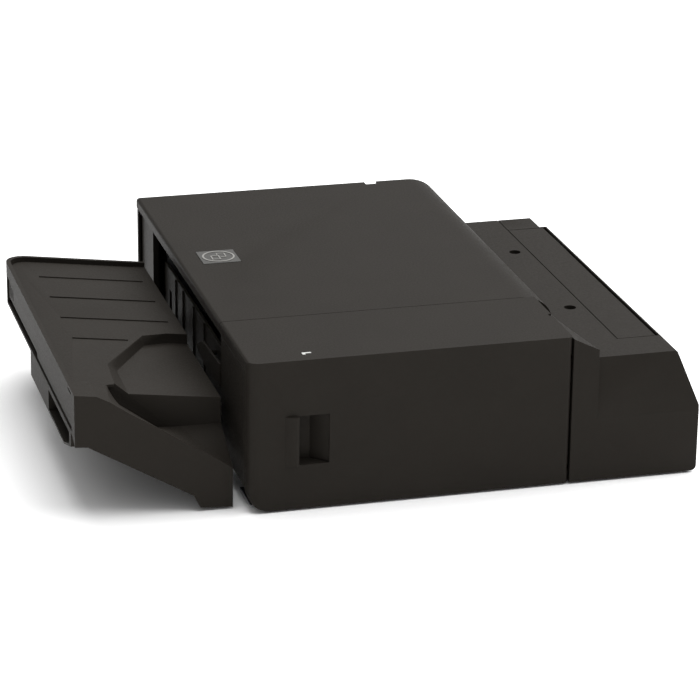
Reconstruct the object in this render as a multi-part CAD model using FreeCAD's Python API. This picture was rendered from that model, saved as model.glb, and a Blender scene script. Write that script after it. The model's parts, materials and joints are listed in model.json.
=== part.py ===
"""In-body sheet finisher for an A3 office printer: a stapling housing, a low entrance bridge on its
right and a lifting output tray on its left.

Units are millimetres. X runs to the right, Y to the back, Z up. The origin is on the standing plane,
in the middle of the footprint. Depths called v are measured back from the flat front face.
"""
import FreeCAD
import Part
import math
import os

V = FreeCAD.Vector

# ---------------------------------------------------------------- driving dimensions
WIDTH = 602.0                # left end of the tray to right end of the bridge
DEPTH = 517.0                # front face to back face of the housing
RIDGE = 4.0                  # how far the door's pull ridge stands proud of the front face
HEIGHT = 150.0               # top of the housing
TRAY_OVERHANG = 158.0        # tray length left of the housing
WALL = 2.5                   # plastic wall
FACE_WALL = 2.8              # front wall of the door and of the right cover
FOOT_H = 2.0                 # rubber pad below the base plate
SHEET = 1.5                  # steel sheet

X_TRAY = -WIDTH / 2                    # left end of the tray
X_LEFT = X_TRAY + TRAY_OVERHANG        # left face of the housing
X_RIGHT = WIDTH / 2                    # right end of the bridge
Y_FACE = -(DEPTH + RIDGE) / 2 + RIDGE  # flat front face

# housing
X_SEAM = X_LEFT + 314.0      # right edge of the front door
SEAM_GAP = 1.0
V_TOP_SEAM = 118.0           # joint between the door's top strip and the top cover
X_SHOULDER = X_LEFT + 300.0  # where the flat top starts to roll over
X_SHOULDER_END = X_LEFT + 333.0
LIP_Z = HEIGHT - 10.5        # lower edge of the top's side lips
TOP_EDGE_R = 3.6

# bridge
Z_BRIDGE = 124.0             # top of the bridge
X_TALL_END = X_LEFT + 340.5  # right end of the tall part of the right cover at the front
V_BRIDGE_BACK = 431.0        # back of the bridge
V_END_BACK = 399.0           # back of the bridge's right end
X_END_BACK = X_RIGHT - 30.0
X_CHAMFER = X_RIGHT - 21.5
Z_CHAMFER = 70.0
SETBACK = 9.0                # how far the bridge's front leans back at its top
Z_SETBACK = 65.0             # height where the lean starts
LID_X0 = X_RIGHT - 66.0      # left edge of the bridge lid
LID_V0, LID_V1 = 54.0, 395.5
LID_BEAD = 4.0               # radius of the lid's hinge bead
LID_PIVOT = (X_RIGHT - 29.0, Z_BRIDGE - LID_BEAD)
DOCK_HOLE_X = X_RIGHT - 81.5
DOCK_HOLE_R = 6.0
DOCK_HOLE_V = (149.0, 325.0)

# door
DOOR_BEAD = 5.0              # radius of the hinge bead along the door's right edge
DOOR_PIVOT = (X_SEAM - DOOR_BEAD, DOOR_BEAD)
DOOR_Z0 = 2.5
DOOR_CORNER_R = 12.0         # vertical front left corner
DOOR_WRAP = 14.0             # how far the door wraps round the left corner
DOOR_LOW_CORNER_R = 20.0
RECESS_X0 = X_LEFT + 48.5
RECESS_X1 = X_LEFT + 78.5
RECESS_Z0, RECESS_Z1 = 46.0, 95.0
RIDGE_W = 12.5

# frames and paper path
V_FRONT_FRAME = 108.5
V_REAR_FRAME = 429.0
X_FRAME0 = X_LEFT + 15.0
X_FRAME1 = X_RIGHT - 33.0
PATH_V0, PATH_V1 = 118.0, 424.0
ENTRY_X, ENTRY_Z = X_RIGHT - 45.0, 100.0   # entrance nip
EXIT_X, EXIT_Z = X_LEFT + 31.0, 121.0      # exit nip
PATH_SLOPE = (EXIT_Z - ENTRY_Z) / (ENTRY_X - EXIT_X)
FEED_X = X_LEFT + 218.0
DRIVE_R = 9.0                # rubber drive rolls
SHAFT_R = 4.0
BORE_GAP = 0.08              # running clearance on radius
NIP_GAP = 0.3
LID_IDLER_R, FEED_IDLER_R, EXIT_IDLER_R = 6.0, 8.0, 7.0
IDLER_AXLE_R = 3.0
ROLL_BANDS = ((150, 172), (215, 237), (310, 332), (362, 384))
EXIT_BANDS = ((203, 225), (323, 345))
PADDLE_BANDS = ((190, 202), (264, 276), (338, 350))
PADDLE_REACH = 20.0
GUIDE_GAP = 2.5              # from the sheet's path to each guide plate

# compile tray, tampers and stapler
COMPILE_X0, COMPILE_X1 = X_LEFT + 45.0, X_LEFT + 147.0
COMPILE_Z1 = 89.3            # height of the low right end
COMPILE_SLOPE = 0.2225
TAMPER_PIVOT = (X_LEFT + 71.0, 270.0)
STAPLER_X0, STAPLER_X1 = X_LEFT + 151.0, X_LEFT + 205.0
STAPLER_V0, STAPLER_V1 = 120.0, 164.0
STAPLER_TOP = 97.0
THROAT_Z = 85.0              # lower jaw of the stapler
STAPLER_RAIL = (X_LEFT + 191.0, 22.0)
STAPLER_RAIL_R = 5.0

# tray
TRAY_V0, TRAY_V1 = 19.5, 432.0
TRAY_X1 = X_LEFT - 10.0      # right end of the tray
TRAY_TOP = 126.5             # rim height at the left end
TRAY_SLOPE = 0.13
RIM = 4.5                    # rim width and height above the deck
SKIN = 2.5
POCKET_DEPTH = 10.0
EXT_V0, EXT_V1 = 38.0, 402.0

# tray lift
LIFT_SHAFT = (X_LEFT + 41.0, 50.0)
LIFT_MODULE = 1.0
LIFT_TEETH = 20
ARM_V = (150.0, 400.0)
ARM_T = 6.0

# drive
BELT_T = 1.6
BELT_GAP = 0.3
PULLEY_R = 12.0
MOTOR_PULLEY_R = 8.0
MOTOR_AXIS = (X_LEFT + 163.0, 50.0)
FRONT_BELT_V = (97.0, 105.0)
REAR_BELT_V = (434.0, 442.0)
FLANGE = 14.0                # width of the frames' folded flanges
FOOT_ROWS = (V_FRONT_FRAME + SHEET - 8.0, V_REAR_FRAME + 8.0)


# ---------------------------------------------------------------- helpers
def block(x0, x1, v0, v1, z0, z1):
    return Part.makeBox(x1 - x0, v1 - v0, z1 - z0, V(x0, Y_FACE + v0, z0))


def prism(points, vector):
    return Part.Face(Part.makePolygon(points + [points[0]])).extrude(vector)


def side_prism(points, v0, v1):
    """Outline in X and Z, drawn from v0 back to v1."""
    return prism([V(x, Y_FACE + v0, z) for x, z in points], V(0, v1 - v0, 0))


def plan_prism(points, z0, z1):
    """Outline in X and v, drawn from z0 up to z1."""
    return prism([V(x, Y_FACE + v, z0) for x, v in points], V(0, 0, z1 - z0))


def front_prism(points, x0, x1):
    """Outline in v and Z, drawn from x0 right to x1."""
    return prism([V(x0, Y_FACE + v, z) for v, z in points], V(x1 - x0, 0, 0))


def rod(x, z, r, v0, v1):
    return Part.makeCylinder(r, v1 - v0, V(x, Y_FACE + v0, z), V(0, 1, 0))


def post(x, v, r, z0, z1):
    return Part.makeCylinder(r, z1 - z0, V(x, Y_FACE + v, z0), V(0, 0, 1))


def peg(v, z, r, x0, x1):
    return Part.makeCylinder(r, x1 - x0, V(x0, Y_FACE + v, z), V(1, 0, 0))


def fuse(first, *others):
    return first.multiFuse(list(others)).removeSplitter() if others else first


def group(*solids):
    return Part.makeCompound(list(solids))


def rounded(shape, radius, chosen):
    """Fillets the straight edges whose two ends both satisfy chosen(x, v, z)."""
    def picked(edge):
        ends = [vertex.Point for vertex in edge.Vertexes]
        return len(ends) == 2 and all(chosen(p.x, p.y - Y_FACE, p.z) for p in ends)
    edges = [e for e in shape.Edges if picked(e)]
    return shape.makeFillet(radius, edges) if edges else shape


def near(a, b):
    return abs(a - b) < 0.01


def path_z(x):
    """Height of the sheet's path."""
    return ENTRY_Z + (ENTRY_X - x) * PATH_SLOPE


def compile_z(x):
    """Top surface of the compile plate."""
    return COMPILE_Z1 + (COMPILE_X1 - x) * COMPILE_SLOPE


def rim_z(x):
    return TRAY_TOP - (x - X_TRAY) * TRAY_SLOPE


def deck_z(x):
    return rim_z(x) - RIM


def shoulder_profile(inset):
    """Edges of the rolled right shoulder, from the flat top down to the bridge."""
    reach = X_SHOULDER_END - X_SHOULDER - inset
    drop = HEIGHT - Z_BRIDGE - 1 - inset
    low = HEIGHT - inset - drop
    ellipse = Part.Ellipse(V(X_SHOULDER + reach, 0, low), V(X_SHOULDER, 0, low + drop),
                           V(X_SHOULDER, 0, low))
    return Part.ArcOfEllipse(ellipse, 0, math.pi / 2).toShape()


def involute_gear(teeth, module, width, bore, phase):
    """Spur gear about +Z, its first tooth at the angle phase, with thinned teeth for backlash."""
    pitch_r = module * teeth / 2
    base_r = pitch_r * math.cos(math.radians(20))
    tip_r = pitch_r + 0.85 * module
    root_r = pitch_r - 1.2 * module
    half_tooth = math.pi / (2 * teeth) - 0.12 * module / pitch_r
    involute_at_pitch = math.tan(math.radians(20)) - math.radians(20)

    def half_angle(r):
        if r <= base_r:
            return half_tooth + involute_at_pitch
        pressure = math.acos(base_r / r)
        return half_tooth + involute_at_pitch - (math.tan(pressure) - pressure)

    radii = [root_r, max(base_r, root_r + 0.01), pitch_r, tip_r]
    points = []
    for k in range(teeth):
        middle = phase + 2 * math.pi * k / teeth
        flank = [(r, middle - half_angle(r)) for r in radii]
        flank += [(r, middle + half_angle(r)) for r in reversed(radii)]
        points += [V(r * math.cos(a), r * math.sin(a), 0) for r, a in flank]
    gear = prism(points, V(0, 0, width))
    return gear.cut(Part.makeCylinder(bore, width + 2, V(0, 0, -1))) if bore else gear


def gear_on_y(gear, x, z, v0):
    """Turns a gear made about +Z so that it lies about +Y."""
    gear.rotate(V(0, 0, 0), V(1, 0, 0), -90)
    gear.translate(V(x, Y_FACE + v0, z))
    return gear


def rack_teeth(first, last, centre, module):
    """Outline pairs (along, out) of straight rack teeth, one tooth at centre."""
    pitch = math.pi * module
    lean = math.tan(math.radians(20))
    half = pitch / 4 - 0.12 * module
    low, high = -1.1 * module, 0.85 * module
    points = []
    k = math.ceil((first - centre) / pitch)
    while centre + k * pitch < last:
        c = centre + k * pitch
        points += [(c - half + low * lean, low), (c - half + high * lean, high),
                   (c + half - high * lean, high), (c + half - low * lean, low)]
        k += 1
    return points


def belt(pulleys, v0, v1):
    """Flat loop round pulleys (x, z, r) listed counter-clockwise as seen from the back."""
    def loop(extra):
        normals = []
        for (x1, z1, r1), (x2, z2, r2) in zip(pulleys, pulleys[1:] + pulleys[:1]):
            length = math.hypot(x2 - x1, z2 - z1)
            dx, dz = (x2 - x1) / length, (z2 - z1) / length
            s = (r1 - r2) / length
            c = math.sqrt(1 - s * s)
            normals.append(math.atan2(-dx * c + dz * s, dz * c + dx * s))
        edges = []
        for i, (x, z, r) in enumerate(pulleys):
            start, end = normals[i - 1], normals[i]
            turn = (end - start) % (2 * math.pi)
            spots = [V(x + (r + extra) * math.cos(a), Y_FACE + v0, z + (r + extra) * math.sin(a))
                     for a in (start, start + turn / 2, start + turn)]
            edges.append(Part.Arc(*spots).toShape())
        closed = []
        for i, edge in enumerate(edges):
            following = edges[(i + 1) % len(edges)]
            closed += [edge, Part.makeLine(edge.Vertexes[-1].Point, following.Vertexes[0].Point)]
        return Part.Face(Part.Wire(closed)).extrude(V(0, v1 - v0, 0))
    return loop(BELT_GAP + BELT_T).cut(loop(BELT_GAP))


def shaft_places():
    """Every shaft that runs through both frames, as (x, z)."""
    return (ENTRANCE_AXIS, FEED_AXIS, FEED_IDLER_AXIS, EXIT_AXIS, ARM_AXIS, PADDLE_AXIS,
            GUIDE_AXIS, LIFT_SHAFT)


ENTRANCE_AXIS = (ENTRY_X, ENTRY_Z - DRIVE_R)
LID_IDLER_AXIS = (ENTRY_X, ENTRY_Z + NIP_GAP + LID_IDLER_R)
FEED_AXIS = (FEED_X, path_z(FEED_X) - DRIVE_R)
FEED_IDLER_AXIS = (FEED_X, path_z(FEED_X) + NIP_GAP + FEED_IDLER_R)
EXIT_AXIS = (EXIT_X, EXIT_Z - DRIVE_R)
EXIT_IDLER_AXIS = (EXIT_X, EXIT_Z + NIP_GAP + EXIT_IDLER_R)
ARM_AXIS = (X_LEFT + 83.0, 136.0)
PADDLE_AXIS = (X_LEFT + 113.0, 122.0)
GUIDE_AXIS = (X_LEFT + 250.0, 124.0)


# ---------------------------------------------------------------- base and frames
FLOOR_Z = FOOT_H
BASE_OUTLINE = [(X_FRAME0 + 8, 10), (X_RIGHT - 8, 10), (X_RIGHT - 8, V_END_BACK - 8),
                (X_END_BACK - 8, V_END_BACK - 8), (X_END_BACK - 8, V_BRIDGE_BACK - 0.5),
                (X_SHOULDER_END - 6, V_BRIDGE_BACK - 0.5), (X_SHOULDER_END - 6, DEPTH - 6),
                (X_FRAME0 - 2, DEPTH - 6), (X_FRAME0 - 2, 60), (X_FRAME0 - 9, 60),
                (X_FRAME0 - 9, 16), (X_FRAME0 + 8, 16)]
MOUNT_X = (X_LEFT + 53.0, X_LEFT + 293.0)
MOUNT_V = (60.0, 460.0)
MOUNT_HOLE_R = 2.75
FRAME_FOOT_X = (X_LEFT + 40.0, X_LEFT + 150.0, X_LEFT + 300.0, X_LEFT + 400.0)


def base_plate():
    plate = plan_prism(BASE_OUTLINE, FLOOR_Z, FLOOR_Z + SHEET)
    x0, x1 = X_FRAME0 - 2, X_RIGHT - 8
    rims = [block(x0 + 20, x1, 10, 10 + SHEET, FLOOR_Z, FLOOR_Z + 10),
            block(x0, X_SHOULDER_END - 6, DEPTH - 6 - SHEET, DEPTH - 6, FLOOR_Z, FLOOR_Z + 12),
            block(x0, x0 + SHEET, V_FRONT_FRAME + FLANGE, DEPTH - 6, FLOOR_Z, FLOOR_Z + 10)]
    plate = fuse(plate, *rims)
    for x in MOUNT_X:
        for v in MOUNT_V:
            plate = plate.cut(post(x, v, MOUNT_HOLE_R, 0, 20))
    for x, v in FOOT_PLACES:
        plate = plate.cut(post(x, v, 3.1, 0, 20))
    for x in FRAME_FOOT_X:
        for v in FOOT_ROWS:
            plate = plate.cut(post(x, v, 2.2, 0, 20))
    return plate


FOOT_PLACES = ((X_LEFT + 30, 30), (X_RIGHT - 30, 30), (X_LEFT + 30, DEPTH - 30),
               (X_SHOULDER_END - 30, DEPTH - 30), (X_RIGHT - 30, V_END_BACK - 30))


def rubber_feet():
    """Round pads pushed into the base plate by a stem."""
    feet = []
    for x, v in FOOT_PLACES:
        pad = fuse(post(x, v, 9, 0, FOOT_H), post(x, v, 3, FOOT_H, FOOT_H + SHEET + 1))
        feet.append(pad)
    return group(*feet)


def side_frame(v0, flange_v0, foot_row):
    """Steel side plate with a bottom flange, a top flange and the shaft holes."""
    x0, x1, xs = X_FRAME0, X_FRAME1, X_LEFT + 312
    z0, low, high = FLOOR_Z + SHEET, Z_BRIDGE - 5, HEIGHT - 6
    outline = [(x0, z0), (x1, z0), (x1, low), (xs, low), (xs, high), (x0, high)]
    plate = side_prism(outline, v0, v0 + SHEET)
    flange_v1 = flange_v0 + FLANGE
    plate = fuse(plate, block(x0, x1, flange_v0, flange_v1, z0, z0 + SHEET),
                 block(x0 + 60, xs - 10, flange_v0, flange_v1, high - SHEET, high))
    for x, z in shaft_places():
        plate = plate.cut(rod(x, z, 6, v0 - 1, v0 + SHEET + 1))
    for x in FRAME_FOOT_X:
        plate = plate.cut(post(x, foot_row, 2.2, 0, 20))
    return plate


def front_frame():
    plate = side_frame(V_FRONT_FRAME, V_FRONT_FRAME + SHEET - FLANGE, FOOT_ROWS[0])
    rail_x, rail_z = STAPLER_RAIL
    window = block(rail_x - 18, rail_x + 18, V_FRONT_FRAME - 1, V_FRONT_FRAME + 3, 29.5, 57)
    for x0 in (X_FRAME0 + 14, X_LEFT + 260, X_LEFT + 330):
        hole = block(x0, x0 + 34, V_FRONT_FRAME - 1, V_FRONT_FRAME + 3, 66, 84)
        plate = plate.cut(hole)
    return plate.cut(window).cut(rod(rail_x, rail_z, STAPLER_RAIL_R, 100, 120))


def rear_frame():
    plate = side_frame(V_REAR_FRAME, V_REAR_FRAME, FOOT_ROWS[1])
    rail_x, rail_z = STAPLER_RAIL
    harness = rod(HARNESS_X, HARNESS_Z, 6, V_REAR_FRAME - 1, V_REAR_FRAME + 3)
    boss = rod(*MOTOR_AXIS, 7, V_REAR_FRAME - 1, V_REAR_FRAME + 3)
    return plate.cut(rod(rail_x, rail_z, STAPLER_RAIL_R, 420, 440)).cut(harness).cut(boss)


def cross_stay(x0, x1, z0, z1):
    """Bent channel between the frames, open downwards."""
    v0, v1 = V_FRONT_FRAME + SHEET + 0.1, V_REAR_FRAME - 0.1
    web = block(x0, x1, v0, v1, z1 - SHEET, z1)
    legs = [block(x, x + SHEET, v0, v1, z0, z1) for x in (x0, x1 - SHEET)]
    tabs = [block(x0, x1, v, v + SHEET, z0, z1) for v in (v0, v1 - SHEET)]
    return fuse(web, *legs, *tabs)


def cross_stays():
    return group(cross_stay(X_LEFT + 175, X_LEFT + 210, 133, HEIGHT - 7),
                 cross_stay(X_LEFT + 350, X_LEFT + 390, 40, 56))


TAMPER_BAR_Z = 86.5          # top of the bar that carries the tamper racks


def tamper_stay():
    """Channel under the compile plate, bored for the tamper motor's shaft."""
    x, v = TAMPER_PIVOT
    stay = cross_stay(x - 22, x + 22, 70, TAMPER_BAR_Z)
    return stay.cut(post(x, v, 5, 60, 95))


def frame_screws():
    screws = []
    for x in FRAME_FOOT_X:
        for v in FOOT_ROWS:
            z = FLOOR_Z + 2 * SHEET
            screws.append(fuse(post(x, v, 2, FLOOR_Z, z), post(x, v, 3.8, z, z + 2.4)))
    return group(*screws)


def shaft_bushings():
    """Flanged plastic bushes in both frames, one for each running shaft."""
    bushes = []
    for x, z in shaft_places():
        for plate_v, flange_v in ((V_FRONT_FRAME, V_FRONT_FRAME + SHEET),
                                  (V_REAR_FRAME, V_REAR_FRAME - SHEET)):
            body = fuse(rod(x, z, 6, plate_v, plate_v + SHEET),
                        rod(x, z, 7.8, flange_v, flange_v + SHEET))
            bushes.append(body.cut(rod(x, z, SHAFT_R + BORE_GAP, plate_v - 5, plate_v + 5)))
    return group(*bushes)


# ---------------------------------------------------------------- outer covers
def top_cover():
    """Top shell with a rolled right shoulder and a rounded left lip."""
    def outline(inset, z_left):
        x0, top, r = X_LEFT + inset, HEIGHT - inset, TOP_EDGE_R - inset
        arc_mid = V(x0 + r * (1 - math.sqrt(0.5)), 0, top - r * (1 - math.sqrt(0.5)))
        shoulder = shoulder_profile(inset)
        low = HEIGHT - inset - (HEIGHT - Z_BRIDGE - 1 - inset)
        return [Part.makeLine(V(x0, 0, z_left), V(x0, 0, top - r)),
                Part.Arc(V(x0, 0, top - r), arc_mid, V(x0 + r, 0, top)).toShape(),
                Part.makeLine(V(x0 + r, 0, top), V(X_SHOULDER, 0, top)), shoulder,
                Part.makeLine(V(X_SHOULDER_END - inset, 0, low), V(X_SHOULDER_END - inset, 0, low - 0.5))]
    low = Z_BRIDGE + 0.5
    outer, inner = outline(0, LIP_Z), outline(WALL, LIP_Z)
    ends = [Part.makeLine(V(X_LEFT, 0, LIP_Z), V(X_LEFT + WALL, 0, LIP_Z)),
            Part.makeLine(V(X_SHOULDER_END, 0, low), V(X_SHOULDER_END - WALL, 0, low))]
    section = Part.Face(Part.Wire(Part.__sortEdges__(outer + inner + ends)))
    v0 = V_TOP_SEAM + 0.6
    section.translate(V(0, Y_FACE + v0, 0))
    shell = section.extrude(V(0, DEPTH - v0, 0))
    step_x = X_SHOULDER_END - WALL - 7.5
    corners = [V(X_SHOULDER_END, 0, low), V(step_x, 0, low), V(step_x, 0, LIP_Z), V(X_LEFT, 0, LIP_Z)]
    closing = [Part.makeLine(a, b) for a, b in zip(corners, corners[1:])]
    back = Part.Face(Part.Wire(Part.__sortEdges__(outline(0, LIP_Z) + closing)))
    back.translate(V(0, Y_FACE + DEPTH - WALL, 0))
    back = back.extrude(V(0, WALL, 0))
    front = block(X_LEFT + 12, X_SHOULDER - 20, v0, v0 + 1.6, HEIGHT - WALL - 4.4, HEIGHT - WALL + 0.5)
    ribs = [block(X_LEFT + 20, X_SHOULDER - 10, v, v + 1.6, HEIGHT - WALL - 2, HEIGHT - WALL + 0.5)
            for v in (200, 300, 400, 470)]
    shell = fuse(shell, back, front, *ribs)
    notch = block(X_LEFT + 252, X_LEFT + 265, DEPTH - 8, DEPTH + 1, LIP_Z + 4, HEIGHT + 1)
    badge_v = 286.8
    seat = block(X_LEFT + 22.2, X_LEFT + 61.3, badge_v - 0.3, badge_v + 38.8, HEIGHT - 0.7, HEIGHT + 1)
    return shell.cut(notch).cut(seat)


def badge_plate():
    """Square metal badge with a raised emblem, a ring round two sheets, sunk flush in the top cover."""
    x0, v0, size = X_LEFT + 22.5, 286.8, 38.5
    plate = block(x0, x0 + size, v0, v0 + size, HEIGHT - 0.7, HEIGHT + 0.3)

    def sheet_outline(dx, dv):
        x, v, w, d, t = x0 + dx, v0 + dv, 9.0, 12.0, 1.2
        frame = block(x, x + w, v, v + d, HEIGHT + 0.2, HEIGHT + 0.8)
        return frame.cut(block(x + t, x + w - t, v + t, v + d - t, HEIGHT, HEIGHT + 2))
    cx, cv = x0 + size / 2, v0 + size / 2
    ring = post(cx, cv, 16.5, HEIGHT + 0.2, HEIGHT + 0.8).cut(post(cx, cv, 14.6, HEIGHT, HEIGHT + 2))
    front_sheet = sheet_outline(size / 2 - 8, size / 2 - 9)
    back_sheet = sheet_outline(size / 2 - 1, size / 2 - 3)
    back_sheet = back_sheet.cut(block(cx - 8, cx + 2, cv - 9, cv + 4, HEIGHT, HEIGHT + 2))
    return fuse(plate, ring, front_sheet, back_sheet)


def rear_cover():
    """Back wall with a short left return and a long right return down to the bridge."""
    z0, z1 = DOOR_Z0, LIP_Z - 0.6
    outer = block(X_LEFT, X_SHOULDER_END, V_REAR_FRAME + FLANGE + 0.5, DEPTH, z0, z1)
    outer = rounded(outer, 4, lambda x, v, z: near(v, DEPTH) and (near(x, X_LEFT) or near(x, X_SHOULDER_END)))
    cavity = block(X_LEFT + WALL, X_SHOULDER_END - WALL, 400, DEPTH - WALL, 0, 200)
    left_open = block(X_LEFT - 1, X_LEFT + WALL + 1, 400, DEPTH - 9, 0, 200)
    step = block(X_SHOULDER_END - WALL - 8, X_SHOULDER_END + 1, 400, DEPTH + 1, Z_BRIDGE, 200)
    shell = outer.cut(cavity).cut(left_open).cut(step)
    x = X_LEFT + 4
    panel = block(x, x + WALL, V_REAR_FRAME + 3, DEPTH - WALL + 0.5, z0 + 8, z1)
    fold = block(X_LEFT + 0.4, x + WALL, V_REAR_FRAME + 3, V_REAR_FRAME + 5.5, z0 + 8, z1)
    shell = fuse(shell, panel, fold)
    for i in range(9):
        x = X_LEFT + 60 + i * 9
        shell = shell.cut(block(x, x + 3.5, DEPTH - 6, DEPTH + 1, 84, 116))
    return shell


def left_front_cover():
    """Fixed side wall between the door's left corner and the sheet exit."""
    v0, v1 = DOOR_WRAP + 0.8, V_TOP_SEAM - 5
    wall = block(X_LEFT, X_LEFT + WALL, v0, v1, 22, LIP_Z - 0.8)
    turn = block(X_LEFT, X_FRAME0 + 2, v1 - WALL, v1, 22, LIP_Z - 0.8)
    shell = fuse(wall, turn).cut(block(X_FRAME0, X_FRAME0 + 5, v1 - WALL - 1, v1 + 1, 0, 200))
    return rounded(shell, 2.2, lambda x, v, z: near(x, X_LEFT) and near(v, v1))


FENCE_X = X_LEFT + 12.0


def exit_fence():
    """Ribbed end fence that the stack stands against, slotted for the two lift arms."""
    x0, x1 = FENCE_X, FENCE_X + WALL
    v0, v1 = V_FRONT_FRAME + SHEET, V_REAR_FRAME
    fence = block(x0, x1, v0, v1, 14, 107)
    shelf = block(x0, x0 + 5.5, v0, v1, 14, 16)
    ribs = [block(x0 - 1.6, x0 + 0.1, v, v + 2, 20, 106) for v in (235, 285, 335, 370)]
    corner = block(x0 - 5, x0 + 9, v0 - 1, V_TOP_SEAM - 4.5, 0, 120)
    fence = fuse(fence, shelf, *ribs).cut(corner)
    for v in ARM_V:
        fence = fence.cut(block(x0 - 5, x0 + 9, v - 6, v + 6, 30, 84))
    return fence


def exit_guard():
    """Slanted blade that keeps fingers out of the front end of the exit."""
    x0 = X_LEFT - 1.2
    outline = [(219.5, 92), (187.5, 106), (114, 109), (114, 86), (170.5, 82)]
    blade = front_prism(outline, x0, x0 + 2)
    pegs = [peg(v, z, 2.5, x0 + 1, FENCE_X) for v, z in ((125, 98), (185, 94))]
    return fuse(blade, *pegs)


def right_cover():
    """One moulding: the fixed front beside the door, the sloped shoulder, and the bridge shell."""
    low = [(X_SHOULDER_END, DOOR_Z0), (X_SHOULDER_END, Z_BRIDGE), (X_CHAMFER, Z_BRIDGE),
           (X_RIGHT, Z_CHAMFER), (X_RIGHT, DOOR_Z0)]
    outer = side_prism(low, 0, V_END_BACK)
    outer = rounded(outer, 5, lambda x, v, z: near(x, X_RIGHT) and near(z, DOOR_Z0))
    outer = rounded(outer, 3, lambda x, v, z: near(x, X_CHAMFER) and near(z, Z_BRIDGE))
    tail = block(X_SHOULDER_END, X_END_BACK, V_END_BACK - 1, V_BRIDGE_BACK, DOOR_Z0, Z_BRIDGE)
    tall = tall_shoulder(X_SEAM + SEAM_GAP, 0)
    outer = fuse(outer, tail, tall)
    lean = front_prism([(-1, Z_SETBACK), (0, Z_SETBACK), (SETBACK, Z_BRIDGE), (SETBACK + 1.5, 140),
                        (-1, 140)], X_TALL_END + 0.5, X_RIGHT + 2)
    outer = outer.cut(lean)
    t = WALL
    inner_low = [(X_SEAM - 10, -5), (X_SEAM - 10, Z_BRIDGE - t), (X_CHAMFER - 1.2, Z_BRIDGE - t),
                 (X_RIGHT - t, Z_CHAMFER - 0.6), (X_RIGHT - t, -5)]
    inner = side_prism(inner_low, SETBACK + FACE_WALL, V_END_BACK - t)
    flat_front = block(X_SEAM - 10, X_RIGHT - t, FACE_WALL, SETBACK + FACE_WALL + 1, -5, Z_SETBACK - 3)
    inner_tail = block(X_SEAM - 10, X_END_BACK - t, V_END_BACK - t - 1, V_BRIDGE_BACK + 1, -5,
                       Z_BRIDGE - t)
    inner_tall = tall_shoulder(X_SEAM - 10, t)
    behind = block(X_SEAM - 10, X_SHOULDER_END, V_TOP_SEAM - 0.4, V_BRIDGE_BACK + 1, -5, Z_BRIDGE - 0.1)
    shell = outer.cut(fuse(inner, flat_front, inner_tail)).cut(inner_tall).cut(behind)
    lid_hole = block(LID_X0 - 0.8, LID_PIVOT[0] + LID_BEAD + 1, LID_V0 - 1, LID_V1 + 1,
                     Z_BRIDGE - 12, Z_BRIDGE + 5)
    mouth = block(X_END_BACK - 3, X_RIGHT + 5, 115, 427, 92, 104)
    plug = block(X_RIGHT - 5, X_RIGHT + 1, DOCK_V0 - 0.5, DOCK_V1 + 0.5, 19.5, 40.5)
    groove = block(LID_X0 - 0.8, LID_X0 + 0.2, LID_V1, V_BRIDGE_BACK + 1, Z_BRIDGE - 1.2, Z_BRIDGE + 1)
    shell = shell.cut(lid_hole).cut(mouth).cut(plug).cut(groove)
    for v in DOCK_HOLE_V:
        boss = post(DOCK_HOLE_X, v, DOCK_HOLE_R + 2.5, Z_BRIDGE - 6, Z_BRIDGE - 1)
        shell = fuse(shell, boss).cut(post(DOCK_HOLE_X, v, DOCK_HOLE_R, Z_BRIDGE - 20, Z_BRIDGE + 5))
    x, z = LID_PIVOT
    lugs = [block(x - 5, x + 4.5, LID_V0 - 4.5, LID_V0 - 1, z - 5, z + 2),
            block(x - 5, x + 4.5, LID_V1 + 1, LID_V1 + 3.5, z - 5, z + 2)]
    seam_x = X_SEAM + SEAM_GAP
    seam_lips = [block(seam_x, seam_x + 1.5, 0.5, 9.7, DOOR_Z0, 145),
                 block(seam_x, seam_x + 1.5, 9, 12.5, 12.5, 145),
                 block(seam_x - 2.8, seam_x + 1.5, 11, 12.5, 12.5, 145),
                 block(seam_x - 2.4, seam_x + 2.5, 11, V_TOP_SEAM - 1, 143.6, 145.4)]
    shell = fuse(shell, *lugs, *seam_lips)
    return shell.cut(rod(x, z, 2, LID_V0 - 6, LID_V0)).cut(rod(x, z, 2, LID_V1, LID_V1 + 4))


def tall_shoulder(x0, inset):
    """Tall block beside the door: its outer edge falls back to meet the top cover's shoulder."""
    def section(v, x_end, z_start, z_end):
        outline = [(x0, -8), (x0, z_start - inset), (x_end - inset, z_end - inset), (x_end - inset, -8)]
        return Part.makePolygon([V(x, Y_FACE + v, z) for x, z in outline + outline[:1]])
    z_door = HEIGHT - 2.2
    slope = (z_door - 135.0) / (X_TALL_END - X_SEAM - SEAM_GAP)
    start_z = z_door + slope * (X_SEAM + SEAM_GAP - x0)
    front = section(FACE_WALL if inset else 0, X_TALL_END, start_z, 135.0)
    back = section(V_TOP_SEAM - 0.4 + (1 if inset else 0), X_SHOULDER_END + 1, start_z - 0.5, 127.0)
    loft = Part.makeLoft([front, back], True, True)
    return loft.common(block(x0, X_RIGHT, -1, 140, DOOR_Z0 if not inset else -5, 200))


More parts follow.
